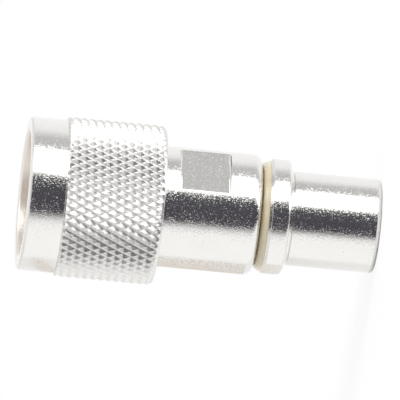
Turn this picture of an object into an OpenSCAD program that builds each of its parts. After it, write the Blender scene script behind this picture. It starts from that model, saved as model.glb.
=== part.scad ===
// N type coaxial cable plug, clamp style, for coaxial cable of about 10 mm.
// The part stands on the rear end of its back nut, centred on the Z axis, with
// the mating end up. Lengths and heights run along Z from the rear end.
// Millimetres.

/* [Back nut] */
// Bore for the cable
cable_bore_d = 10.6; // [10:0.1:12]
// Chamfer of that bore at the rear end
cable_edge = 0.15; // [0.1:0.05:0.25]
// Wall of the tail round the cable bore
tail_wall = 0.95; // [0.8:0.05:1.5]
// Length of the tail behind the flange, relief included
tail_len = 12.2; // [8:0.1:18]
// Rounding of the tail's rear edge
tail_round = 0.6; // [0.2:0.1:0.7]
// Width of the relief between the flange and the tail
neck_w = 0.55; // [0.4:0.05:1.2]
// Depth of that relief
neck_depth = 0.25; // [0.1:0.05:0.4]
// Height of the flange above the tail
flange_rise = 1.525; // [1:0.025:2.5]
// Length of the flange
flange_len = 2.75; // [2:0.05:5]
// Depth of the two flats milled into the flange
flange_flat_depth = 0.675; // [0.4:0.025:0.9]
// Length of the chamfer on the flange's front
flange_chamfer_len = 0.35; // [0.2:0.05:1.4]
// Rounding of the flange's rear edge
flange_rear_round = 0.5; // [0.2:0.05:0.8]
// Turn of the flange's flats from the body's flats, in degrees
flange_turn = 56; // [0:1:180]
// Wall of the threaded part round the cable bore
back_thread_wall = 0.72; // [0.6:0.02:1.2]

/* [Body] */
// Wall of the body round the back nut's thread
body_wall = 1.9; // [1.7:0.1:2.6]
// Length of the body
body_len = 17.15; // [16.8:0.05:20]
// Depth of the two wrench flats milled into the body
body_flat_depth = 0.9; // [0.4:0.1:1.2]
// Length of the wrench flats
body_flats_len = 6.75; // [5:0.05:7]
// Distance from the body's rear end to the flats
body_flats_offset = 4.3; // [3.5:0.1:4.5]
// Rounding of the body's rear edge
body_rear_round = 1.2; // [0.5:0.1:1.6]
// Diameter of the counterbore that takes the outer contact's collar
collar_bore_d = 11.2; // [10.6:0.1:12]
// Depth of that counterbore
collar_depth = 3.5; // [3:0.1:4]
// Width of the ledge under the collar
collar_ledge = 0.6; // [0.3:0.1:0.9]
// Length of the bore that takes the rear insulator
middle_bore_len = 3.1; // [2.8:0.1:3.5]

/* [Coupling nut] */
// Wall of the smooth skirt round the body
nut_wall = 2.1; // [1.6:0.1:3]
// Length of the nut behind the retaining ring's groove
nut_tail = 1.9; // [1.2:0.1:2.4]
// Length of the smooth skirt
nut_skirt_len = 4.9; // [3:0.1:7]
// Height of the knurl's points above the skirt
knurl_rise = 0.4; // [0.2:0.05:0.6]
// Depth of the knurl from its points to its valleys
knurl_depth = 0.42; // [0.3:0.02:0.6]
// Knurl diamonds round the nut, an even number
knurl_count = 62; // [48:4:72]
// Rows of half diamonds along the nut
knurl_rows = 12; // [8:1:14]
// Plain rim behind the knurl
nut_rim = 0.45; // [0.2:0.05:0.8]
// Chamfer on the front edges of the skirt
nut_edge = 0.35; // [0.1:0.05:0.5]
// Diameter over the crests of the coupling thread
thread_crest_d = 14.9; // [14.7:0.05:15.4]
// Length of the coupling thread
thread_len = 8.3; // [6:0.1:9]
// Step from the thread's crests to the counterbore in front of it
mouth_step = 0.75; // [0.5:0.05:1]
// Depth of that counterbore
mouth_depth = 2.2; // [1:0.1:3]

/* [Line] */
// Distance from the body's front face to the reference plane
ferrule_len = 10.5; // [10:0.1:11.5]
// Distance from the reference plane to the nut's front edge
nut_lead = 3.4; // [3:0.1:3.8]
// Bore of the outer conductor
line_bore_d = 7; // [6.6:0.05:7.4]
// Wall of the outer contact's sleeve
ferrule_wall = 0.525; // [0.4:0.025:0.7]
// Rounding of the sleeve's front edge
ferrule_round = 0.2; // [0.1:0.05:0.3]
// Width of the four slots in the sleeve
ferrule_slot_w = 0.4; // [0.2:0.05:0.6]
// Length of those slots
ferrule_slot_len = 5; // [3:0.1:6]
// Diameter of the inner conductor
line_pin_d = 3.04; // [2.9:0.02:3.4]
// Diameter of the contact pin's tip
tip_d = 1.6; // [1.5:0.02:1.8]
// Length of the tip from its shoulder
tip_len = 8; // [7:0.1:8.5]
// Distance from the reference plane back to the tip's shoulder
shoulder_depth = 5.4; // [5.2:0.1:6]
// Wall of the solder cup
cup_wall = 0.5; // [0.3:0.05:0.8]
// Diameter of the hole in the solder cup
cup_bore_d = 2.8; // [2.6:0.1:3.2]
// Length of the solder cup
cup_len = 6; // [5:0.1:6.5]
// Length of solid metal between the hole and the line section
cup_floor = 1; // [0.5:0.1:2]
// Diameter of the solder hole in the side of the cup
cup_hole_d = 1; // [0.6:0.1:1.4]
// Length of the front insulator
front_insulator_len = 7.8; // [6:0.1:8]
// Length of the rear insulator
rear_insulator_len = 2; // [1.6:0.1:2.2]

/* [Seals and retaining ring] */
// Thickness of the front gasket
gasket_t = 1.4; // [1:0.1:1.8]
// Width of the front gasket from its inner to its outer edge
gasket_w = 2; // [1.5:0.1:2.1]
// Space between the outer contact's sleeve and the front gasket
gasket_stand = 1.25; // [1:0.05:1.4]
// Thickness of the retaining ring
ring_t = 0.9; // [0.6:0.05:1.1]
// Width of the retaining ring from its inner to its outer edge
ring_w = 1; // [0.8:0.05:1.2]
// Depth to which the retaining ring lies in the body
ring_seat = 0.45; // [0.3:0.05:0.6]
// Width of the split in the retaining ring
ring_split = 1.6; // [1:0.1:3]
// Distance from the body's front face to the ring's groove
ring_offset = 1.1; // [0.8:0.1:1.4]
// Thickness of the seal ring between the body and the back nut
seal_t = 1.05; // [0.8:0.05:1.3]
// Width of the seal ring from its inner to its outer edge
seal_w = 1.3; // [1:0.05:1.5]
// Rounding of the seal ring's outer edge on the body's side
seal_round = 1; // [0.5:0.05:1.0]

/* [Cable clamp] */
// Length of the braid clamp's flange
clamp_len = 2.8; // [2.4:0.1:3]
// Length of the spigot in front of the flange
clamp_spigot_len = 1; // [0.6:0.1:1.1]
// Bore of the braid clamp
clamp_bore_d = 7.5; // [7:0.1:8]
// Length of the cable gasket
cable_gasket_len = 2.2; // [1.8:0.1:2.3]
// Height of the gasket's lip inside the cable bore
gasket_lip = 0.1; // [0:0.05:0.2]
// Thickness of the slip washer
washer_t = 0.6; // [0.4:0.1:0.7]

/* [Clearances] */
// Radial clearance between the coupling nut and the body
nut_gap = 0.1; // [0.05:0.01:0.1]
// Clearance round the retaining ring in its grooves
ring_gap = 0.1; // [0.05:0.01:0.15]
// Radial clearance of the back nut's thread in the body
thread_gap = 0.08; // [0.05:0.01:0.1]
// Radial clearance of the clamp pieces in the body
clamp_gap = 0.1; // [0.06:0.01:0.1]
// Clearance between end faces on pieces that move apart
face_gap = 0.05; // [0.02:0.01:0.08]
// Radial clearance of pieces that are pressed or bonded in place
seat_gap = 0.02; // [0.01:0.01:0.04]

/* [Hidden] */
$fn = 96;

// Room for cuts that run past a face
cut = 1;
// How far the plain part of the coupling nut lies under the knurl's valleys
core_sink = 0.1;
// How far the knurled sleeve reaches inwards from its valleys
sleeve_depth = 0.3;
// How far the sleeve reaches on along the nut under the plain metal
sleeve_lap = 0.12;
// Plain length between the knurl and the skirt
knurl_stop = 0.15;

// Radii
cable_bore_r = cable_bore_d / 2;
tail_r = cable_bore_r + tail_wall;
flange_r = tail_r + flange_rise;
back_thread_r = cable_bore_r + back_thread_wall;
seal_inner_r = back_thread_r + seat_gap;
seal_outer_r = seal_inner_r + seal_w;
rear_bore_r = back_thread_r + thread_gap;
body_r = rear_bore_r + body_wall;
clamp_r = rear_bore_r - clamp_gap;
collar_bore_r = collar_bore_d / 2;
middle_bore_r = collar_bore_r - collar_ledge;
ferrule_bore_r = line_bore_d / 2;
ferrule_r = ferrule_bore_r + ferrule_wall;
line_r = line_pin_d / 2;
tip_r = tip_d / 2;
cup_r = cup_bore_d / 2 + cup_wall;
ring_inner_r = body_r - ring_seat;
ring_outer_r = ring_inner_r + ring_w;
nut_bore_r = body_r + nut_gap;
nut_skirt_r = nut_bore_r + nut_wall;
knurl_r = nut_skirt_r + knurl_rise;
valley_r = knurl_r - knurl_depth;
thread_r = thread_crest_d / 2;
mouth_r = thread_r + mouth_step;

// Heights from the rear end up to the mating end
z_flange_rear = tail_len;
z_flange_front = z_flange_rear + flange_len;
z_body_rear = z_flange_front + seal_t + face_gap;
z_body_front = z_body_rear + body_len;
z_collar = z_body_front - collar_depth;
z_rear_bore = z_collar - middle_bore_len;
z_clamp_front = z_rear_bore - face_gap;
z_clamp_rear = z_clamp_front - clamp_len;
z_cable_gasket = z_clamp_rear - cable_gasket_len;
z_washer = z_cable_gasket - washer_t;
z_back_front = z_washer - face_gap;
z_groove_top = z_body_front - ring_offset;
z_groove = z_groove_top - ring_t - 2 * ring_gap;
z_reference = z_body_front + ferrule_len;
z_shoulder = z_reference - shoulder_depth;
z_tip = z_shoulder + tip_len;
z_cup = z_collar - cup_len;
z_nut_rear = z_groove - nut_tail;
z_nut_front = z_reference + nut_lead;
z_skirt = z_nut_front - nut_skirt_len;
z_mouth = z_nut_front - mouth_depth;
z_thread = z_mouth - thread_len;

// The region between two radii and two heights, left of which lies the axis
module band(r0, r1, z0, z1) {
    translate([r0, z0]) square([r1 - r0, z1 - z0]);
}

// A ring turned from that region
module ring(r0, r1, z0, z1) {
    rotate_extrude() band(r0, r1, z0, z1);
}

// What a rounding takes off the outer edge at (r, z), with the metal above
// that edge, or below it if up is false
module rounding(r, z, radius, up = true) {
    translate([r, z]) mirror([1, 0]) mirror([0, up ? 0 : 1]) difference() {
        translate([-cut, -cut]) square(radius + cut);
        translate([radius, radius]) circle(radius);
    }
}

// What milling takes off two opposite sides to leave flats at a distance from
// the axis
module flats(distance, z0, z1) {
    side = 2 * (body_r + flange_r);
    for (turn = [0, 180])
        rotate(turn) translate([-side / 2, distance, z0]) cube([side, side, z1 - z0]);
}

// Body: the turned shell that everything else is carried by
module body_shell() {
    flats_z = z_body_rear + body_flats_offset;
    color("gainsboro") difference() {
        rotate_extrude() difference() {
            polygon([
                [rear_bore_r, z_body_rear], [body_r, z_body_rear], [body_r, z_body_front],
                [collar_bore_r, z_body_front], [collar_bore_r, z_collar], [middle_bore_r, z_collar],
                [middle_bore_r, z_rear_bore], [rear_bore_r, z_rear_bore]
            ]);
            rounding(body_r, z_body_rear, body_rear_round);
            band(ring_inner_r - ring_gap, body_r + cut, z_groove, z_groove_top);
        }
        flats(body_r - body_flat_depth, flats_z, flats_z + body_flats_len);
    }
}

// Outer contact: a springy slotted sleeve with a collar that the body holds
module outer_contact() {
    color("silver") difference() {
        rotate_extrude() difference() {
            union() {
                band(ferrule_bore_r, ferrule_r, z_collar, z_reference);
                band(ferrule_bore_r, collar_bore_r - seat_gap, z_collar, z_body_front);
            }
            rounding(ferrule_r, z_reference, ferrule_round, up = false);
        }
        for (turn = [45, 135])
            rotate(turn)
                translate([-2 * ferrule_r, -ferrule_slot_w / 2, z_reference - ferrule_slot_len])
                    cube([4 * ferrule_r, ferrule_slot_w, ferrule_slot_len + cut]);
    }
}

// Contact pin: tip, line section and solder cup, turned in one piece
module contact_pin() {
    shoulder_len = line_r - tip_r;
    z_round = z_tip - tip_r;
    bore_len = cup_len - cup_floor;
    color("goldenrod") difference() {
        rotate_extrude() {
            polygon([
                [0, z_cup], [cup_r, z_cup], [cup_r, z_collar], [line_r, z_collar],
                [line_r, z_shoulder - shoulder_len], [tip_r, z_shoulder], [tip_r, z_round], [0, z_round]
            ]);
            intersection() {
                translate([0, z_round]) circle(tip_r);
                band(0, tip_r, z_round, z_tip);
            }
        }
        translate([0, 0, z_cup - cut]) cylinder(d = cup_bore_d, h = bore_len + cut);
        translate([0, 0, z_cup + bore_len / 2]) rotate([90, 0, 0]) cylinder(d = cup_hole_d, h = 2 * cup_r);
    }
}

// Front insulator: carries the pin in the outer contact
module front_insulator() {
    color("ivory")
        ring(line_r + seat_gap, ferrule_bore_r - seat_gap, z_collar, z_collar + front_insulator_len);
}

// Rear insulator: lies round the solder cup, against the collar
module rear_insulator() {
    color("ivory")
        ring(cup_r + seat_gap, middle_bore_r - seat_gap, z_collar - rear_insulator_len, z_collar);
}

// Front gasket: lies on the body's front face round the outer contact
module front_gasket() {
    inner_r = ferrule_r + gasket_stand;
    color("chocolate") ring(inner_r, inner_r + gasket_w, z_body_front, z_body_front + gasket_t);
}

// Retaining ring: a split ring in the body's groove that keeps the nut on
module retaining_ring() {
    z0 = z_groove + ring_gap;
    color("peru") difference() {
        ring(ring_inner_r, ring_outer_r, z0, z0 + ring_t);
        translate([0, -ring_split / 2, z0 - cut])
            cube([2 * ring_outer_r, ring_split, ring_t + 2 * cut]);
    }
}

// The knurled surface as rings of points. Along every ring, peaks and valleys
// take turns, and the next ring is half a diamond further round. The first and
// the last two rings lie under the plain metal on either side.
module knurl_sleeve(z0, z1) {
    steps = 2 * knurl_count;
    inner_r = valley_r - sleeve_depth;
    row_len = (z1 - z0) / knurl_rows;
    heights = [
        z0 - sleeve_lap, z0 - sleeve_lap,
        for (k = [0:knurl_rows]) z0 + k * row_len,
        z1 + sleeve_lap, z1 + sleeve_lap
    ];
    last = len(heights) - 1;
    function radius(k, m) =
        k == 0 || k == last ? inner_r
        : k == 1 || k == last - 1 ? valley_r
        : (k + m) % 2 == 0 ? knurl_r : valley_r;
    function id(k, m) = (k % (last + 1)) * steps + m % steps;
    points = [
        for (k = [0:last]) for (m = [0:steps - 1])
            let (r = radius(k, m), a = 360 * m / steps)
                [r * cos(a), r * sin(a), heights[k]]
    ];
    faces = [
        for (k = [0:last]) for (m = [0:steps - 1])
            let (a = id(k, m), b = id(k + 1, m), c = id(k, m + 1), d = id(k + 1, m + 1))
                each (k + m) % 2 == 0 ? [[a, b, c], [d, c, b]] : [[a, b, d], [a, d, c]]
    ];
    polyhedron(points, faces);
}

// Coupling nut: smooth skirt, knurled grip, coupling thread and rear bore
module coupling_nut() {
    core_r = valley_r - core_sink;
    lead_in = mouth_r - thread_r;
    color("gainsboro") union() {
        rotate_extrude() difference() {
            polygon([
                [nut_bore_r, z_nut_rear], [core_r, z_nut_rear], [core_r, z_skirt],
                [nut_skirt_r, z_skirt], [nut_skirt_r, z_nut_front - nut_edge],
                [nut_skirt_r - nut_edge, z_nut_front], [mouth_r + nut_edge, z_nut_front],
                [mouth_r, z_nut_front - nut_edge], [mouth_r, z_mouth],
                [thread_r, z_mouth - lead_in], [thread_r, z_thread], [nut_bore_r, z_thread]
            ]);
            band(0, ring_outer_r + ring_gap, z_groove, z_groove_top);
        }
        knurl_sleeve(z_nut_rear + nut_rim, z_skirt - knurl_stop);
    }
}

// Braid clamp: traps the cable's braid and holds the rear insulator
module braid_clamp() {
    bore_r = clamp_bore_d / 2;
    color("silver") rotate_extrude() {
        band(bore_r, clamp_r, z_clamp_rear, z_clamp_front);
        band(bore_r, middle_bore_r - clamp_gap, z_clamp_rear, z_clamp_front + clamp_spigot_len);
    }
}

// Cable gasket: is squeezed on to the cable's sheath
module cable_gasket() {
    color("dimgray") ring(cable_bore_r - gasket_lip, clamp_r, z_cable_gasket, z_clamp_rear);
}

// Slip washer: keeps the back nut from dragging the gasket round
module slip_washer() {
    color("silver") ring(cable_bore_r, clamp_r, z_washer, z_cable_gasket);
}

// Back nut: thread, flange with two flats, relief and smooth tail
module back_nut() {
    color("gainsboro") difference() {
        rotate_extrude() difference() {
            polygon([
                [cable_bore_r, cable_edge], [cable_bore_r + cable_edge, 0], [tail_r, 0],
                [tail_r, z_flange_rear], [flange_r, z_flange_rear],
                [flange_r, z_flange_front - flange_chamfer_len],
                [seal_outer_r + seat_gap, z_flange_front], [back_thread_r, z_flange_front],
                [back_thread_r, z_back_front], [cable_bore_r, z_back_front]
            ]);
            rounding(tail_r, 0, tail_round);
            rounding(flange_r, z_flange_rear, flange_rear_round);
            band(tail_r - neck_depth, tail_r + cut, z_flange_rear - neck_w, z_flange_rear);
        }
        rotate(flange_turn)
            flats(flange_r - flange_flat_depth, z_flange_rear - cut, z_flange_front + cut);
    }
}

// Seal ring: lies round the back nut's thread against its flange
module seal_ring() {
    color("burlywood") rotate_extrude() difference() {
        band(seal_inner_r, seal_outer_r, z_flange_front, z_flange_front + seal_t);
        rounding(seal_outer_r, z_flange_front + seal_t, seal_round, up = false);
    }
}

body_shell();
outer_contact();
contact_pin();
front_insulator();
rear_insulator();
front_gasket();
retaining_ring();
coupling_nut();
braid_clamp();
cable_gasket();
slip_washer();
back_nut();
seal_ring();
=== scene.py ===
"""Looks of an N type coaxial cable plug: nickel plate, knurl, seal ring, contacts and a plain pale studio."""
import math

import bmesh
import bpy
import numpy as np
from mathutils import Matrix, Vector

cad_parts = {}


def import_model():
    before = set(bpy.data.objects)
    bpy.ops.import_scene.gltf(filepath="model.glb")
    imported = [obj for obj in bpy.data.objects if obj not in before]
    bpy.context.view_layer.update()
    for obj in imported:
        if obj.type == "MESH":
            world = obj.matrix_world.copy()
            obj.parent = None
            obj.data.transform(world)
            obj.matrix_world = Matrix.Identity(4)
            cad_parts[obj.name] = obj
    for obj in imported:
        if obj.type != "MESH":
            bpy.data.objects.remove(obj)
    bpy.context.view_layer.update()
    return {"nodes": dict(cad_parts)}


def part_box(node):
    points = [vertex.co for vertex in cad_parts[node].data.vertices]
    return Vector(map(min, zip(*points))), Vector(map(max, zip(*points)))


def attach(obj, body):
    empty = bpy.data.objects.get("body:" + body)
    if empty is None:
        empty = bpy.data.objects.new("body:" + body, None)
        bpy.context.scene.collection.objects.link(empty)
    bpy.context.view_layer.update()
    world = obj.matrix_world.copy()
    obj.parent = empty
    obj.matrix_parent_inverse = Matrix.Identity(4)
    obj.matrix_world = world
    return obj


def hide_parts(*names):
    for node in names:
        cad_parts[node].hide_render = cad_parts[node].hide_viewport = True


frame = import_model()
MM = 0.001

# Sizes that the frame's boxes don't give, in millimetres
SKIRT_R = 10.2
SKIRT_LEN = 4.9
KNURL_DEPTH = 0.40
KNURL_COUNT = 62
KNURL_ROWS = 12
KNURL_CELLS = 6
KNURL_STOP = 0.15
RIM_RISE = 0.12
NUT_RIM = 0.45
NUT_EDGE = 0.35
MOUTH_R = 8.2
MOUTH_DEPTH = 2.2
NUT_BORE_R = 8.1
NUT_GROOVE_R = 8.65
GROOVE_OFFSET = 1.1
GROOVE_LEN = 1.1
THREAD_CREST_R = 7.45
THREAD_ROOT_R = 7.9375
THREAD_PITCH = 25.4 / 24
THREAD_LEN = 8.3

BODY_GROOVE_R = 7.45
BODY_REAR_ROUND = 1.2
BODY_FLAT = 7.1
BODY_FLAT_FROM = 4.3
BODY_FLAT_LEN = 6.75
FLAT_CORNER = 0.25
COLLAR_BORE_R = 5.6
COLLAR_DEPTH = 3.5
MIDDLE_BORE_R = 5.0
MIDDLE_BORE_LEN = 3.1
REAR_BORE_R = 6.1

TAIL_R = 6.25
TAIL_LEN = 12.2
TAIL_ROUND = 0.6
NECK_W = 0.55
NECK_R = 6.0
FLANGE_LEN = 2.75
FLANGE_FLAT = 7.1
FLANGE_TURN = 56
FLANGE_CHAMFER = 0.35
FLANGE_FRONT_R = 7.36
FLANGE_REAR_ROUND = 0.5
CABLE_BORE_R = 5.3
BACK_THREAD_R = 6.02
SEAL_ROUND = 1.0
GASKET_W = 2.0

# ---------------------------------------------------------------- node trees


class Tree:
    """Short calls for building a node tree."""

    def __init__(self, owner):
        owner.use_nodes = True
        self.nodes = owner.node_tree.nodes
        self.links = owner.node_tree.links
        self.nodes.clear()

    def add(self, kind, inputs=None, **settings):
        made = self.nodes.new(kind)
        for key, value in settings.items():
            setattr(made, key, value)
        for key, value in (inputs or {}).items():
            if isinstance(value, bpy.types.NodeSocket):
                self.links.new(value, made.inputs[key])
            else:
                made.inputs[key].default_value = value
        return made

    def maths(self, operation, *values, clamp=False):
        made = self.add("ShaderNodeMath", dict(enumerate(values)), operation=operation, use_clamp=clamp)
        return made.outputs[0]

    def ramp(self, fac, stops, interpolation="LINEAR"):
        made = self.add("ShaderNodeValToRGB", {"Fac": fac})
        ramp = made.color_ramp
        ramp.interpolation = interpolation
        while len(ramp.elements) > 1:
            ramp.elements.remove(ramp.elements[-1])
        for i, (place, colour) in enumerate(stops):
            element = ramp.elements[0] if i == 0 else ramp.elements.new(place)
            element.position = place
            if not hasattr(colour, "__len__"):
                colour = (colour, colour, colour)
            element.color = (*colour, 1)
        return made.outputs["Color"]

    def noise(self, vector, scale, detail=2.0, rough=0.5):
        made = self.add(
            "ShaderNodeTexNoise", {"Vector": vector, "Scale": scale, "Detail": detail, "Roughness": rough}
        )
        return made.outputs[0]

    def place(self, offset=(0, 0, 0), turn=(0, 0, 0), scale=(1, 1, 1)):
        coords = self.add("ShaderNodeTexCoord").outputs["Object"]
        made = self.add(
            "ShaderNodeMapping", {"Vector": coords, "Location": offset, "Rotation": turn, "Scale": scale}
        )
        return made.outputs[0]

    def smooth(self, value, start, end):
        """0 before start and 1 past end, with a soft step between them."""
        made = self.add(
            "ShaderNodeMapRange", {"Value": value, "From Min": start, "From Max": end},
            interpolation_type="SMOOTHSTEP",
        )
        return made.outputs[0]

    def radius(self, vector):
        """Distance from the Z axis."""
        parts = self.add("ShaderNodeSeparateXYZ", {"Vector": vector})
        squares = [self.maths("POWER", parts.outputs[side], 2.0) for side in ("X", "Y")]
        return self.maths("SQRT", self.maths("ADD", *squares))

    def bump(self, height, distance, strength=1.0):
        made = self.add("ShaderNodeBump", {"Height": height, "Strength": strength, "Distance": distance})
        return made.outputs[0]

    def principled(self, inputs):
        shader = self.add("ShaderNodeBsdfPrincipled", inputs)
        self.add("ShaderNodeOutputMaterial", {"Surface": shader.outputs[0]})
        return shader


def colour_mix(tree, fac, a, b):
    """Mixes two colours, each a socket or a tuple."""
    made = tree.nodes.new("ShaderNodeMix")
    made.data_type = "RGBA"
    for index, value in ((0, fac), (6, a), (7, b)):
        if isinstance(value, bpy.types.NodeSocket):
            tree.links.new(value, made.inputs[index])
        else:
            made.inputs[index].default_value = value if index == 0 else (*value, 1)
    return made.outputs[2]


def scratches(tree, turn, scale, width, cover):
    """Fine bent lines in patches: 1 on a line, 0 elsewhere."""
    where = tree.place(turn=turn)
    wander = tree.noise(where, scale * 0.35, 1.0)
    wave = tree.add(
        "ShaderNodeTexWave",
        {"Vector": where, "Scale": scale, "Distortion": 9.0, "Detail": 2.0, "Detail Scale": 0.6},
        wave_type="BANDS",
    ).outputs[1]
    line = tree.maths("GREATER_THAN", wave, 1 - width)
    patch = tree.maths("GREATER_THAN", wander, cover)
    return tree.maths("MULTIPLY", line, patch)


# The nickel's grain: the specks and the swell against the finest waves, and
# the depth of those waves in metres
GRIT_HEIGHT = 75.0
SWELL_HEIGHT = 2.0
GRAIN_DEPTH = 2.6e-6
KNURL_ROUGHNESS = 0.30
MOUTH_ROUGHNESS = 0.22
# Warm tint of the nut's mouth wall: a painted reflection of the front gasket's colour
MOUTH_PAINTED_REFLECTION = (0.86, 0.80, 0.74)
DIRT_COLOUR = (0.30, 0.27, 0.30)


def dark_spots(tree, where, cloud):
    """Small round marks where the cloud is dense: 1 on a mark, 0 elsewhere."""
    spots = tree.add(
        "ShaderNodeTexVoronoi", {"Vector": where, "Scale": 900.0, "Randomness": 1.0}, feature="F1"
    ).outputs["Distance"]
    spot = tree.maths("LESS_THAN", spots, 0.09)
    return tree.maths("MULTIPLY", spot, tree.maths("GREATER_THAN", cloud, 0.56))


def nickel(name, marks=1.0, knurled=False):
    """Bright nickel plate over turned brass: near mirror, with grain, scratches and small dark marks; in the
    knurled nut's mouth, a painted reflection of the front gasket's warm colour.
    """
    made = bpy.data.materials.new(name)
    tree = Tree(made)
    where = tree.place()
    cloud = tree.noise(where, 260, 3.0)
    patch = tree.noise(where, 700, 2.0)
    fine = tree.noise(where, 5200, 2.0, 0.6)
    medium = tree.noise(where, 4200, 1.0)
    swell = tree.noise(where, 420, 1.0)
    line_a = scratches(tree, (0.5, 0.3, 0.2), 900, 0.004, 0.60)
    line_b = scratches(tree, (1.4, 0.9, 2.1), 700, 0.003, 0.62)
    lines = tree.maths("MAXIMUM", line_a, line_b)
    spot = dark_spots(tree, where, cloud)
    dirt = tree.maths("MAXIMUM", spot, tree.maths("MULTIPLY", lines, 0.5))
    dirt = tree.maths("MULTIPLY", dirt, 0.35 * marks)
    base = colour_mix(tree, cloud, (0.79, 0.78, 0.76), (0.84, 0.83, 0.81))
    colour = colour_mix(tree, dirt, base, DIRT_COLOUR)
    rough = tree.maths("MULTIPLY_ADD", lines, 0.22 * marks, 0.05)
    rough = tree.maths("MULTIPLY_ADD", cloud, 0.03, rough)
    if knurled:
        reach = tree.radius(where)
        outside = tree.maths("GREATER_THAN", reach, (SKIRT_R + 0.02) * MM)
        inside = tree.maths("LESS_THAN", reach, (MOUTH_R + NUT_EDGE * 0.5) * MM)
        rough = tree.maths("MULTIPLY_ADD", outside, KNURL_ROUGHNESS, rough)
        rough = tree.maths("MULTIPLY_ADD", inside, MOUTH_ROUGHNESS, rough)
        # Painted reflection: the mouth's inner wall takes the front gasket's warm colour
        colour = colour_mix(tree, inside, colour, MOUTH_PAINTED_REFLECTION)
    grit = tree.maths("POWER", tree.maths("MAXIMUM", tree.maths("SUBTRACT", fine, 0.45), 0.0), 2.0)
    grit = tree.maths("MULTIPLY", grit, tree.maths("ADD", patch, 0.4))
    waves = tree.maths("MULTIPLY_ADD", swell, SWELL_HEIGHT, medium)
    height = tree.maths("MULTIPLY_ADD", grit, GRIT_HEIGHT, waves)
    bump = tree.bump(height, GRAIN_DEPTH)
    tree.principled({"Base Color": colour, "Metallic": 1.0, "Roughness": rough, "Normal": bump})
    return made


def plated(name, low, high, roughness, grain=0.6e-6, scale=5000):
    """Plain plated or turned metal with cloudy colour and a fine grain."""
    made = bpy.data.materials.new(name)
    tree = Tree(made)
    where = tree.place()
    cloud = tree.noise(where, 380, 3.0)
    fine = tree.noise(tree.place(scale=(1, 1, 6)), scale, 2.0)
    colour = colour_mix(tree, cloud, low, high)
    rough = tree.maths("MULTIPLY_ADD", cloud, 0.08, roughness)
    bump = tree.bump(fine, grain)
    tree.principled({"Base Color": colour, "Metallic": 1.0, "Roughness": rough, "Normal": bump})
    return made


def moulded(name, low, high, roughness, subsurface=0.0, grain=3e-6, coat=0.0):
    """Rubber or plastic: cloudy colour, soft gloss and a fine skin."""
    made = bpy.data.materials.new(name)
    tree = Tree(made)
    where = tree.place()
    cloud = tree.noise(where, 450, 3.0)
    fine = tree.noise(where, 6500, 2.0)
    colour = colour_mix(tree, cloud, low, high)
    rough = tree.maths("MULTIPLY_ADD", fine, 0.12, roughness)
    bump = tree.bump(fine, grain, 0.6)
    inputs = {"Base Color": colour, "Roughness": rough, "Normal": bump, "Coat Weight": coat}
    if subsurface:
        inputs["Subsurface Weight"] = subsurface
        inputs["Subsurface Radius"] = (1.0, 0.7, 0.4)
        inputs["Subsurface Scale"] = 0.0006
    tree.principled(inputs)
    return made


# ------------------------------------------------------------- turned pieces

# The flats' cutter, in millimetres, and how near is the same place, in metres
CUTTER_SIDE = 30
SAME_PLACE = 1e-7
# How far a face may lean along the round and still count as turned, and how
# alike two faces' slopes are where no edge parts them
MILLED_LEAN = 0.03
SAME_SLOPE = 0.94


def extent(node):
    """A turned node's rear end, front end and outer radius, in millimetres."""
    low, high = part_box(node)
    return low.z / MM, high.z / MM, high.x / MM


def linked(name, data):
    """A new object of the scene that shows the data."""
    made = bpy.data.objects.new(name, data)
    bpy.context.scene.collection.objects.link(made)
    return made


def mesh_data(name, mesh):
    """The mesh data of a finished bmesh."""
    data = bpy.data.meshes.new(name)
    mesh.to_mesh(data)
    mesh.free()
    return data


def rounded(outline):
    """The points of an outline of corners (r, z) or (r, z, rounding radius), with arcs for the roundings."""
    corners = [(Vector(c[:2]), c[2] if len(c) > 2 else 0.0) for c in outline]
    points = []
    for i, (corner, radius) in enumerate(corners):
        before = (corners[i - 1][0] - corner).normalized()
        after = (corners[(i + 1) % len(corners)][0] - corner).normalized()
        inside = math.acos(max(-1.0, min(1.0, before.dot(after))))
        if radius == 0 or inside > math.radians(178):
            points.append(corner)
            continue
        reach = radius / math.tan(inside / 2)
        start = corner + before * reach
        end = corner + after * reach
        centre = corner + (before + after).normalized() * (radius / math.sin(inside / 2))
        steps = max(3, math.ceil(math.degrees(math.pi - inside) / 9))
        a, b = start - centre, end - centre
        turn = b.angle_signed(a) if a.length and b.length else 0.0
        for k in range(steps + 1):
            spin = Matrix.Rotation(turn * k / steps, 2)
            points.append(centre + spin @ a)
    return points


def turned(name, outline, segments=240):
    """A closed mesh turned from an outline in millimetres round the Z axis."""
    points = rounded(outline)
    mesh = bmesh.new()
    rings = []
    for point in points:
        ring = []
        for k in range(segments):
            a = 2 * math.pi * k / segments
            spot = (point.x * math.cos(a) * MM, point.x * math.sin(a) * MM, point.y * MM)
            ring.append(mesh.verts.new(spot))
        rings.append(ring)
    for i, ring in enumerate(rings):
        other = rings[(i + 1) % len(rings)]
        for k in range(segments):
            n = (k + 1) % segments
            mesh.faces.new((ring[k], ring[n], other[n], other[k]))
    bmesh.ops.recalc_face_normals(mesh, faces=mesh.faces)
    return linked(name, mesh_data(name, mesh))


def is_nose(edge, out, distance):
    """Whether a cutter's edge lies on its flat face, across the axis."""
    first, second = edge.verts
    on_flat = all(abs(v.co.dot(out) - distance) < SAME_PLACE for v in edge.verts)
    return on_flat and abs(first.co.z - second.co.z) < SAME_PLACE


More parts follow.
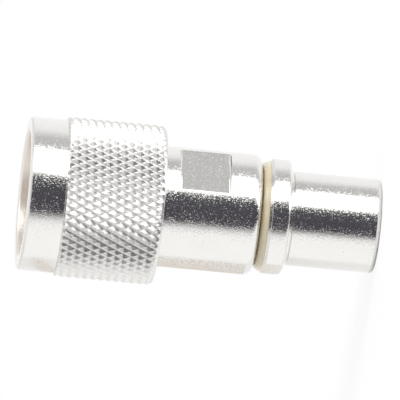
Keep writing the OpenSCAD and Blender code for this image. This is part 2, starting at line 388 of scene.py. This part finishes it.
def mill_flats(piece, distance, z0, z1, turn, corner=0.0):
    """Cuts two opposite flats into a turned piece, with a corner radius at their ends."""
    side = CUTTER_SIDE * MM
    for half in (0, 180):
        cutter = bmesh.new()
        bmesh.ops.create_cube(cutter, size=1)
        spot = Matrix.Rotation(math.radians(turn + half), 4, "Z") @ Matrix.Translation(
            (0, distance * MM + side / 2, (z0 + z1) / 2 * MM)
        )
        size = Matrix.Diagonal((side, side, (z1 - z0) * MM, 1))
        bmesh.ops.transform(cutter, matrix=spot @ size, verts=cutter.verts)
        if corner:
            out = (spot.to_3x3() @ Vector((0, 1, 0))).normalized()
            nose = [e for e in cutter.edges if is_nose(e, out, distance * MM)]
            bmesh.ops.bevel(cutter, geom=nose, offset=corner * MM, segments=6, affect="EDGES", profile=0.5)
        tool = linked("flat_cutter", mesh_data("flat_cutter", cutter))
        cut = piece.modifiers.new("flat", "BOOLEAN")
        cut.operation, cut.solver, cut.object = "DIFFERENCE", "EXACT", tool
        apply_modifiers(piece)
        bpy.data.objects.remove(tool)


def apply_modifiers(piece):
    """Turns the piece's modifiers into its mesh."""
    graph = bpy.context.evaluated_depsgraph_get()
    data = bpy.data.meshes.new_from_object(piece.evaluated_get(graph))
    old = piece.data
    piece.modifiers.clear()
    piece.data = data
    bpy.data.meshes.remove(old)


def is_flat(normal, centre, flats):
    """Whether a face lies on one of the milled flats, each a turn in degrees and a distance in metres."""
    for turn, distance in flats:
        a = math.radians(turn + 90)
        out = Vector((math.cos(a), math.sin(a), 0))
        if abs(normal.dot(out)) > 0.9999 and abs(abs(centre.dot(out)) - distance) < 1e-6:
            return True
    return False


def true_normals(piece, flats=()):
    """Gives a turned piece the normals of true round surfaces, so that it mirrors like metal off a lathe."""
    data = piece.data
    for face in data.polygons:
        face.use_smooth = True
    around = [[] for _ in data.vertices]
    kinds = []
    for face in data.polygons:
        flat = is_flat(face.normal, face.center, flats)
        radial = Vector((face.center.x, face.center.y, 0)).normalized()
        across = Vector((-radial.y, radial.x, 0))
        milled = flat or abs(face.normal.dot(across)) > MILLED_LEAN
        kinds.append((milled, Vector((face.normal.dot(radial), face.normal.z)), face.area))
        for v in face.vertices:
            around[v].append(face.index)
    normals = []
    for face in data.polygons:
        milled, slope, _ = kinds[face.index]
        for v in face.vertices:
            if milled:
                normals.append(face.normal)
                continue
            total = Vector((0, 0))
            for other in around[v]:
                other_milled, other_slope, area = kinds[other]
                if not other_milled and other_slope.dot(slope) > SAME_SLOPE:
                    total += other_slope * area
            total.normalize()
            spot = data.vertices[v].co
            radial = Vector((spot.x, spot.y, 0)).normalized()
            normals.append(Vector((radial.x * total.x, radial.y * total.x, total.y)))
    data.normals_split_custom_set(normals)


def finish_piece(piece, material, body, slot, *nodes):
    """Material, body and the CAD nodes that the piece stands for; slot is not used."""
    piece.data.materials.clear()
    piece.data.materials.append(material)
    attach(piece, body)
    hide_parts(*nodes)


# -------------------------------------------------------------- coupling nut


def knurl_height(turns, rise):
    """Height of the knurl, 0 in a valley and 1 at a point, at an angle and a rise counted in diamonds."""
    deep = 1 - np.abs(2 * ((turns - rise) % 1) - 1)
    shallow = 1 - np.abs(2 * ((turns + rise) % 1) - 1)
    deep = np.clip((deep - 0.05) / 0.95, 0, 1)
    shallow = 0.2 + 0.8 * np.clip((shallow - 0.04) / 0.96, 0, 1)
    peak = np.minimum(deep, shallow)
    return np.where(peak > 0.88, 0.88 + (peak - 0.88) * 0.5, peak) / 0.94


def thread_depth(turns):
    """Depth of the coupling thread's groove, from 0 on a crest to 1 at a root."""
    wave = 1 - np.abs(2 * (turns % 1) - 1)
    return np.clip((wave - 0.22) / 0.64, 0, 1)


# Profiles of the nut's edges: height above the edge and distance inwards, in millimetres
RIM_PROFILE = ((0, 0.30), (0.03, 0.14), (0.10, 0.04), (0.20, 0))
SKIRT_PROFILE = ((-0.02, 0.10), (0.06, 0.015), (0.12, 0))
THREAD_STEPS = 10


def ring_of(count, z, radius):
    """A ring of points round the axis: how many, and the height and radius at each, in millimetres."""
    return count, np.full(count, float(z)), np.broadcast_to(radius, count).astype(float)


def outer_rings(rear, front, point_r, around):
    """The outside from rear to front: rim, knurl, skirt and front edge. Also which rings hold the knurl."""
    angle = 2 * np.pi * np.arange(around) / around
    skirt = front - SKIRT_LEN
    band_from, band_to = rear + NUT_RIM, skirt - KNURL_STOP
    row = (band_to - band_from) / KNURL_ROWS
    valley_r = point_r - KNURL_DEPTH
    rim_r = valley_r + RIM_RISE
    rings = [ring_of(around, rear + up, rim_r - inwards) for up, inwards in RIM_PROFILE]
    first = len(rings)
    for k in range(-1, KNURL_ROWS * KNURL_CELLS + 1):
        z = band_from + row * k / KNURL_CELLS
        height = knurl_height(KNURL_COUNT * angle / (2 * np.pi) + 0.5, (z - band_from) / (2 * row))
        ends = min(1.0, max(0.0, (z - band_from + 0.26) / 0.50), max(0.0, (band_to + 0.10 - z) / 0.22))
        radius = valley_r + KNURL_DEPTH * height
        rings.append(ring_of(around, z, rim_r + (radius - rim_r) * ends if ends < 1 else radius))
    knurl = range(first, first + KNURL_ROWS * KNURL_CELLS + 1)
    rings += [ring_of(around, skirt + up, SKIRT_R - inwards) for up, inwards in SKIRT_PROFILE]
    rings.append(ring_of(around, front - NUT_EDGE - 0.1, SKIRT_R))
    for k in range(9):
        a = math.radians(90 * k / 8)
        z = front - NUT_EDGE * (1 - math.sin(a))
        rings.append(ring_of(around, z, SKIRT_R - NUT_EDGE * (1 - math.cos(a))))
    return rings, knurl


def inner_rings(rear, front, around):
    """The inside from front to rear: mouth, coupling thread, bore and the retaining ring's groove."""
    angle = 2 * np.pi * np.arange(around) / around
    rings = []
    for k in range(5):
        a = math.radians(90 * k / 4)
        z = front - NUT_EDGE * (1 - math.cos(a))
        rings.append(ring_of(around, z, MOUTH_R + NUT_EDGE * (1 - math.sin(a))))
    mouth = front - MOUTH_DEPTH
    thread_to = mouth - (MOUTH_R - THREAD_CREST_R)
    thread_from = mouth - THREAD_LEN
    rings.append(ring_of(around, mouth + 0.05, MOUTH_R))
    rings.append(ring_of(around, mouth, MOUTH_R - 0.05))
    rings.append(ring_of(around, thread_to + 0.02, THREAD_CREST_R + 0.02))
    steps = int((thread_to - thread_from) / THREAD_PITCH * THREAD_STEPS)
    for k in range(steps + 1):
        z = thread_to + (thread_from - thread_to) * k / steps
        fade = min(1.0, (thread_to - z) / 0.5, (z - thread_from) / 0.6)
        depth = thread_depth(z / THREAD_PITCH - angle / (2 * np.pi)) * max(0.0, fade)
        rings.append(ring_of(around, z, THREAD_CREST_R + (THREAD_ROOT_R - THREAD_CREST_R) * depth))
    groove_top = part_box("body_shell")[1].z / MM - GROOVE_OFFSET
    groove_end = groove_top - GROOVE_LEN
    for z, radius in (
        (thread_from - 0.01, NUT_BORE_R), (groove_top, NUT_BORE_R), (groove_top, NUT_GROOVE_R),
        (groove_end, NUT_GROOVE_R), (groove_end, NUT_BORE_R),
        (rear + 0.1, NUT_BORE_R), (rear, NUT_BORE_R + 0.1),
    ):
        rings.append(ring_of(around, z, radius))
    return rings


def ring_points(rings):
    """The points of all rings in metres, and the number of each ring's first point."""
    points, starts = [], []
    for count, z, radius in rings:
        starts.append(len(points))
        for k in range(count):
            a = 2 * math.pi * k / count
            points.append((radius[k] * math.cos(a) * MM, radius[k] * math.sin(a) * MM, z[k] * MM))
    return points, starts


def ridge_split(one, next_one, a, b, k, n):
    """Two triangles for a cell of the knurl, parted along the diagonal that follows its ridge or valley."""
    if abs(one[k] - next_one[n]) < abs(one[n] - next_one[k]):
        return [(a + k, a + n, b + n), (a + k, b + n, b + k)]
    return [(a + k, a + n, b + k), (a + n, b + n, b + k)]


def ring_faces(rings, starts, knurl):
    """Faces from each ring to the next, and from the last to the first, also where the counts differ."""
    faces = []
    for i, (count, _, radius) in enumerate(rings):
        j = (i + 1) % len(rings)
        other, a, b = rings[j][0], starts[i], starts[j]
        for k in range(min(count, other)):
            n = (k + 1) % min(count, other)
            if i in knurl:
                faces += ridge_split(radius, rings[j][2], a, b, k, n)
            elif count == other:
                faces.append((a + k, a + n, b + n, b + k))
            elif count > other:
                step = count // other
                ends = [a + (step * k + s) % count for s in range(step + 1)]
                faces.append((*ends, b + n, b + k))
            else:
                step = other // count
                ends = [b + (step * k + s) % other for s in range(step, -1, -1)]
                faces.append((a + k, a + n, *ends))
    return faces


def coupling_nut(material):
    """The coupling nut with its knurl and its internal thread, in one closed mesh."""
    rear, front, point_r = extent("coupling_nut")
    around = 2 * KNURL_COUNT * KNURL_CELLS
    rings, knurl = outer_rings(rear, front, point_r, around)
    rings += inner_rings(rear, front, around // 4)
    points, starts = ring_points(rings)
    data = bpy.data.meshes.new("coupling_nut_knurled")
    data.from_pydata(points, [], ring_faces(rings, starts, knurl))
    data.update()
    made = linked("coupling_nut_knurled", data)
    for face in data.polygons:
        face.use_smooth = True
    data.set_sharp_from_angle(angle=math.radians(38))
    finish_piece(made, material, "coupling_nut", "nickel_plate", "coupling_nut")


# ------------------------------------------------------------ body, back nut


def body_shell(material):
    """The body: stepped bore, ring groove, rounded rear edge and two wrench flats."""
    rear, front, radius = extent("body_shell")
    collar = front - COLLAR_DEPTH
    middle = collar - MIDDLE_BORE_LEN
    groove_top = front - GROOVE_OFFSET
    groove_end = groove_top - GROOVE_LEN
    outline = [
        (REAR_BORE_R, rear, 0.08), (radius, rear, BODY_REAR_ROUND), (radius, groove_end),
        (BODY_GROOVE_R, groove_end), (BODY_GROOVE_R, groove_top), (radius, groove_top),
        (radius, front, 0.1), (COLLAR_BORE_R, front), (COLLAR_BORE_R, collar), (MIDDLE_BORE_R, collar),
        (MIDDLE_BORE_R, middle), (REAR_BORE_R, middle),
    ]
    made = turned("body_turned", outline)
    flat_from = rear + BODY_FLAT_FROM
    mill_flats(made, BODY_FLAT, flat_from, flat_from + BODY_FLAT_LEN, 0, FLAT_CORNER)
    true_normals(made, [(0, BODY_FLAT * MM)])
    finish_piece(made, material, "body", "nickel_plate", "body_shell")


def back_nut(material):
    """The back nut: smooth tail, narrow relief, flange with two flats and the thread's round face."""
    _, top, flange_r = extent("back_nut")
    flange_rear = TAIL_LEN
    flange_front = TAIL_LEN + FLANGE_LEN
    outline = [
        (CABLE_BORE_R, 0, 0.12), (TAIL_R, 0, TAIL_ROUND), (TAIL_R, flange_rear - NECK_W, 0.05),
        (NECK_R, flange_rear - NECK_W, 0.2), (NECK_R, flange_rear, 0.3),
        (flange_r, flange_rear, FLANGE_REAR_ROUND), (flange_r, flange_front - FLANGE_CHAMFER, 0.06),
        (FLANGE_FRONT_R, flange_front, 0.05), (BACK_THREAD_R, flange_front),
        (BACK_THREAD_R, top, 0.1), (CABLE_BORE_R, top, 0.1),
    ]
    made = turned("back_nut_turned", outline)
    mill_flats(made, FLANGE_FLAT, flange_rear - 0.5, flange_front + 0.5, FLANGE_TURN)
    true_normals(made, [(FLANGE_TURN, FLANGE_FLAT * MM)])
    finish_piece(made, material, "back_nut", "nickel_plate", "back_nut")


def moulded_ring(name, node, inner, roundings, material, body, slot):
    """A soft ring with a rounding radius for each corner of its section, from the inner rear one round."""
    rear, front, outer = extent(node)
    corners = ((inner, rear), (outer, rear), (outer, front), (inner, front))
    made = turned(name, [(*corner, radius) for corner, radius in zip(corners, roundings)])
    true_normals(made)
    finish_piece(made, material, body, slot, node)


def seal_ring(material):
    """The amber ring between body and back nut."""
    roundings = (0.05, 0.03, SEAL_ROUND, 0.05)
    inner = BACK_THREAD_R + 0.02
    moulded_ring("seal_ring_moulded", "seal_ring", inner, roundings, material, "back_nut", "seal_ring")


def front_gasket(material):
    """The silicone ring on the body's front face, deep in the nut's mouth."""
    roundings = (0.2, 0.2, 0.3, 0.3)
    inner = extent("front_gasket")[2] - GASKET_W
    moulded_ring("front_gasket_moulded", "front_gasket", inner, roundings, material, "body", "front_seal")


# -------------------------------------------------------------------- studio

# What stands round the connector, by the angle from the top of the picture
# towards the camera: degrees and brightness
CARDS = [
    (0, 0.60), (14, 0.60), (22, 2.6), (53, 2.6), (57, 1.5), (60, 0.5), (64, 0.10),
    (80, (0.085, 0.082, 0.098)), (100, (0.078, 0.072, 0.088)), (114, (0.08, 0.076, 0.088)),
    (120, 0.43), (128, 0.95), (136, 1.10), (196, 1.12), (204, 1.0), (266, 1.0), (274, 1.04),
    (330, 1.05), (340, 0.97), (350, 0.72), (356, 0.60), (360, 0.60),
]
CARD_R = 0.45
CARD_LOW, CARD_HIGH = -8.0, 0.6
# A warm card below: its angles, and the heights in metres where it fades in and out
WARM_CARD = (204, 266)
WARM_COLOUR = (0.78, 0.72, 0.66)
WARM_FROM = (-0.034, -0.026)
WARM_TO = (0.001, -0.006)
# Above these heights all cards fade to a pale grey
PALE_FROM = (0.06, 0.14)
PALE_COLOUR = (0.85, 0.85, 0.85)
PALE_SHARE = 0.8
# The floor's radii in metres, where mirrors begin to miss it and where it ends
FLOOR_MIRROR_FADE = (0.0075, 0.0095)
FLOOR_END = (0.10, 0.22)
FLOOR_SIDE = 0.3
FLOOR_GREY = 0.92
FLOOR_WHITE_SHARE = 0.80
CAMERA_AZIMUTH = -45.8
CAMERA_ELEVATION = 5.0
CAMERA_ROLL = 5.45
CAMERA_DISTANCE = 1.50
CAMERA_LENS = 1020
AIM_ALONG = 23.7
AIM_ACROSS = 1.27
LAMP_POWER = 1.6
LAMP_SIZE = 0.30
LAMP_R, LAMP_HEIGHT = 0.55, 0.45
LAMP_AZIMUTH = CAMERA_AZIMUTH - 35


def camera():
    """The connector lies across the picture, mating end left and a little towards the camera."""
    az, el = math.radians(CAMERA_AZIMUTH), math.radians(CAMERA_ELEVATION)
    back = Vector((math.sin(az) * math.cos(el), -math.cos(az) * math.cos(el), math.sin(el)))
    axis = (Vector((0, 0, 1)) - back * back.z).normalized()
    across = axis.cross(back)
    roll = math.radians(CAMERA_ROLL)
    right = across * math.sin(roll) - axis * math.cos(roll)
    up = across * math.cos(roll) + axis * math.sin(roll)
    data = bpy.data.cameras.new("camera")
    data.lens, data.sensor_width = CAMERA_LENS, 36
    data.clip_start, data.clip_end = 0.01, 10
    made = linked("camera", data)
    aim = Vector((0, 0, AIM_ALONG * MM)) + across * AIM_ACROSS * MM
    spot = aim + back * CAMERA_DISTANCE
    made.matrix_world = Matrix((
        (right.x, up.x, back.x, spot.x),
        (right.y, up.y, back.y, spot.y),
        (right.z, up.z, back.z, spot.z),
        (0, 0, 0, 1),
    ))
    bpy.context.scene.camera = made


def card_material():
    """Glow of the cards by angle, with the warm card below and the pale grey above."""
    made = bpy.data.materials.new("studio_cards")
    tree = Tree(made)
    coords = tree.add("ShaderNodeTexCoord").outputs["Object"]
    parts = tree.add("ShaderNodeSeparateXYZ", {"Vector": coords})
    angle = tree.maths("ARCTAN2", parts.outputs["Y"], parts.outputs["X"])
    turns = tree.maths("MULTIPLY_ADD", angle, -1 / (2 * math.pi), CAMERA_AZIMUTH / 360)
    turns = tree.maths("FRACT", turns)
    colour = tree.ramp(turns, [(a / 360, value) for a, value in CARDS])
    height = parts.outputs["Z"]
    first, last = WARM_CARD
    stops = [(first / 360 - 0.02, 0), (first / 360, 1), (last / 360, 1), (last / 360 + 0.02, 0)]
    side = tree.ramp(turns, stops)
    upright = tree.maths("MULTIPLY", tree.smooth(height, *WARM_FROM), tree.smooth(height, *WARM_TO))
    colour = colour_mix(tree, tree.maths("MULTIPLY", upright, side), colour, WARM_COLOUR)
    pale = tree.maths("MULTIPLY", tree.smooth(height, *PALE_FROM), PALE_SHARE)
    colour = colour_mix(tree, pale, colour, PALE_COLOUR)
    glow = tree.add("ShaderNodeEmission", {"Color": colour, "Strength": 1.0})
    tree.add("ShaderNodeOutputMaterial", {"Surface": glow.outputs[0]})
    return made


def cards():
    """A ring of studio cards that the metal mirrors: white, grey, a bright soft box and a dark flag."""
    made = card_material()
    mesh = bmesh.new()
    count = 180
    low, high = [], []
    for k in range(count):
        a = 2 * math.pi * k / count
        x, y = CARD_R * math.cos(a), CARD_R * math.sin(a)
        low.append(mesh.verts.new((x, y, CARD_LOW)))
        high.append(mesh.verts.new((x, y, CARD_HIGH)))
    for k in range(count):
        n = (k + 1) % count
        mesh.faces.new((low[k], low[n], high[n], high[k]))
    data = mesh_data("studio_cards", mesh)
    data.materials.append(made)
    ring = linked("studio_cards", data)
    ring.visible_camera = False
    ring.visible_shadow = False


def floor_material():
    """Near white to the camera, plain to all else, and clear to mirrors away from the connector."""
    made = bpy.data.materials.new("studio_floor")
    tree = Tree(made)
    coords = tree.add("ShaderNodeTexCoord").outputs["Object"]
    flat = tree.add("ShaderNodeVectorMath", {0: coords, 1: (1, 1, 0)}, operation="MULTIPLY").outputs[0]
    reach = tree.add("ShaderNodeVectorMath", {0: flat}, operation="LENGTH").outputs["Value"]
    path = tree.add("ShaderNodeLightPath")
    grey = (FLOOR_GREY, FLOOR_GREY, FLOOR_GREY, 1)
    diffuse = tree.add("ShaderNodeBsdfDiffuse", {"Color": grey}).outputs[0]
    white = tree.add("ShaderNodeEmission", {"Color": (1, 1, 1, 1), "Strength": 1.0}).outputs[0]
    bright = tree.maths("MULTIPLY", path.outputs["Is Camera Ray"], FLOOR_WHITE_SHARE)
    shown = tree.add("ShaderNodeMixShader", {0: bright, 1: diffuse, 2: white}).outputs[0]
    clear = tree.add("ShaderNodeBsdfTransparent").outputs[0]
    far = tree.smooth(reach, *FLOOR_END)
    mirrored = tree.maths("MULTIPLY", tree.smooth(reach, *FLOOR_MIRROR_FADE), path.outputs["Is Glossy Ray"])
    hidden = tree.maths("MAXIMUM", far, mirrored)
    out = tree.add("ShaderNodeMixShader", {0: hidden, 1: shown, 2: clear}).outputs[0]
    tree.add("ShaderNodeOutputMaterial", {"Surface": out})
    return made


def floor():
    """A pale floor that takes the connector's shadow and ends softly."""
    made = floor_material()
    mesh = bmesh.new()
    bmesh.ops.create_grid(mesh, x_segments=1, y_segments=1, size=FLOOR_SIDE)
    data = mesh_data("studio_floor", mesh)
    data.materials.append(made)
    sheet = linked("studio_floor", data)


def world():
    """Plain white all round."""
    made = bpy.data.worlds.new("studio")
    bpy.context.scene.world = made
    tree = Tree(made)
    back = tree.add("ShaderNodeBackground", {"Color": (1, 1, 1, 1), "Strength": 1.0})
    tree.add("ShaderNodeOutputWorld", {"Surface": back.outputs[0]})


def lamps():
    """One soft lamp on the bright side, for the shadow and the sparkle of the knurl."""
    data = bpy.data.lights.new("soft_lamp", "AREA")
    data.shape, data.size = "DISK", LAMP_SIZE
    data.energy = LAMP_POWER
    made = linked("soft_lamp", data)
    a = math.radians(LAMP_AZIMUTH)
    spot = Vector((LAMP_R * math.cos(a), LAMP_R * math.sin(a), LAMP_HEIGHT))
    made.location = spot
    made.rotation_mode = "QUATERNION"
    made.rotation_quaternion = (-spot).to_track_quat("-Z", "Y")


def dress():
    """Every piece of the connector in its finish."""
    nodes = frame["nodes"]
    plate = nickel("nickel_plate_bright")
    coupling_nut(nickel("nickel_plate_knurled", marks=0.4, knurled=True))
    body_shell(plate)
    back_nut(plate)
    amber = moulded("seal_amber", (0.58, 0.49, 0.33), (0.66, 0.58, 0.41), 0.12, subsurface=0.3, coat=1.0)
    seal_ring(amber)
    silicone = moulded("gasket_silicone", (0.55, 0.20, 0.10), (0.64, 0.27, 0.15), 0.45, subsurface=0.2)
    front_gasket(silicone)
    ptfe = moulded("ptfe_waxy", (0.84, 0.83, 0.80), (0.91, 0.90, 0.87), 0.38, subsurface=0.3)
    bronze_plate = plated("white_bronze", (0.72, 0.71, 0.68), (0.80, 0.79, 0.76), 0.20)
    finishes = {
        "outer_contact": bronze_plate,
        "contact_pin": plated("gold_plate", (0.93, 0.66, 0.25), (1.0, 0.76, 0.36), 0.14),
        "front_insulator": ptfe,
        "rear_insulator": ptfe,
        "retaining_ring": plated("phosphor_bronze", (0.52, 0.33, 0.20), (0.63, 0.42, 0.27), 0.28),
        "braid_clamp": bronze_plate,
        "cable_gasket": moulded("neoprene", (0.020, 0.020, 0.021), (0.040, 0.040, 0.042), 0.55),
        "slip_washer": bronze_plate,
    }
    for name, material in finishes.items():
        data = nodes[name].data
        data.materials.clear()
        data.materials.append(material)


scene = bpy.context.scene
scene.view_settings.view_transform = "Standard"
camera()
world()
cards()
floor()
lamps()
dress()
